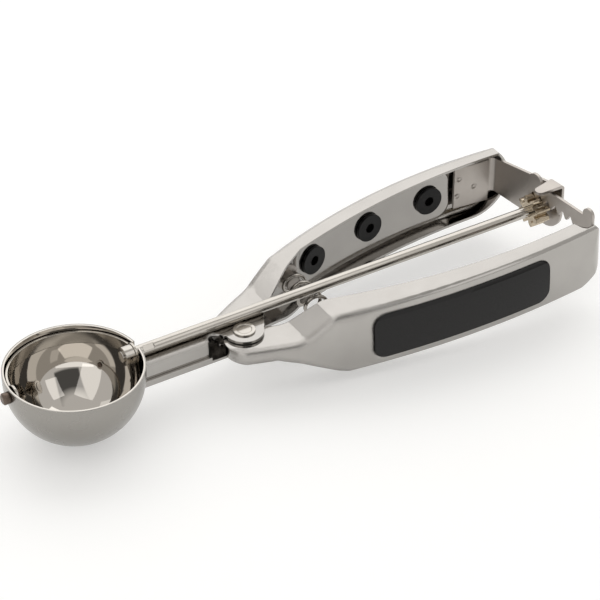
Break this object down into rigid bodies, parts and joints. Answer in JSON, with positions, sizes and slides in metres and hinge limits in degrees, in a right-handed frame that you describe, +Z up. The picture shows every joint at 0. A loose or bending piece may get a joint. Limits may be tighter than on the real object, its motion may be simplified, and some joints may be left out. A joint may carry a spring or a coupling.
{
  "type": "cookie scoop",
  "caption": "Squeeze-handle cookie scoop: a hemispherical steel bowl with a turning wiper, driven by a lever, a rack and a pinion on a long rod.",
  "frame": {"origin": "centre of the bowl's mouth on the plane of the rim", "axes": "+X along the rod from the bowl to the handles, +Z up out of the bowl's mouth, +Y towards the fixed handle"},
  "size_m": [0.2035, 0.0626, 0.035],
  "materials": {
    "satin_steel": "satin stainless sheet",
    "bowl_steel": "polished inside, satin outside",
    "rod_steel": "polished stainless rod",
    "wiper_steel": "polished stainless strip",
    "bracket_steel": "dull stainless sheet",
    "spring_steel": "bright spring wire",
    "pin_steel": "dark plain steel",
    "sintered_bronze": "dull sintered bronze",
    "pad_plastic": "matt black soft plastic"
  },
  "bodies": {
    "frame": {"bowl": "bowl_steel", "front_pin": "pin_steel", "fixed_handle": "satin_steel", "neck_base": "satin_steel", "bearing_bracket": "bracket_steel", "pivot_rivet": "rod_steel", "pivot_bush": "bracket_steel", "fixed_grip_pad": "pad_plastic", "fixed_grip_studs": "pad_plastic", "fixed_spring_post": "bracket_steel", "return_spring": "spring_steel"},
    "lever": {"lever_handle": "satin_steel", "lever_grip_pad": "pad_plastic", "lever_grip_studs": "pad_plastic", "lever_spring_post": "bracket_steel", "rack_bracket": "bracket_steel"},
    "drive": {"drive_rod": "rod_steel", "pinion": "sintered_bronze", "wiper_blade": "wiper_steel", "wiper_collar": "rod_steel"}
  },
  "joints": [
    {"name": "lever_squeeze", "type": "hinge", "parent": "frame", "child": "lever", "pos_m": [0.0569, -0.0051, -0.009], "axis": [0, 0, 1], "range_deg": [0, 6.83], "stiffness_Nm_per_rad": 0.7, "springref_deg": -5.73, "deforming": ["return_spring"]},
    {"name": "wiper_turn", "type": "hinge", "parent": "frame", "child": "drive", "pos_m": [0, 0, -0.0027], "axis": [-1, 0, 0], "range_deg": [0, 172.6]}
  ],
  "couplings": [
    {"joint": "wiper_turn", "follows": "lever_squeeze", "ratio": 25.242}
  ]
}
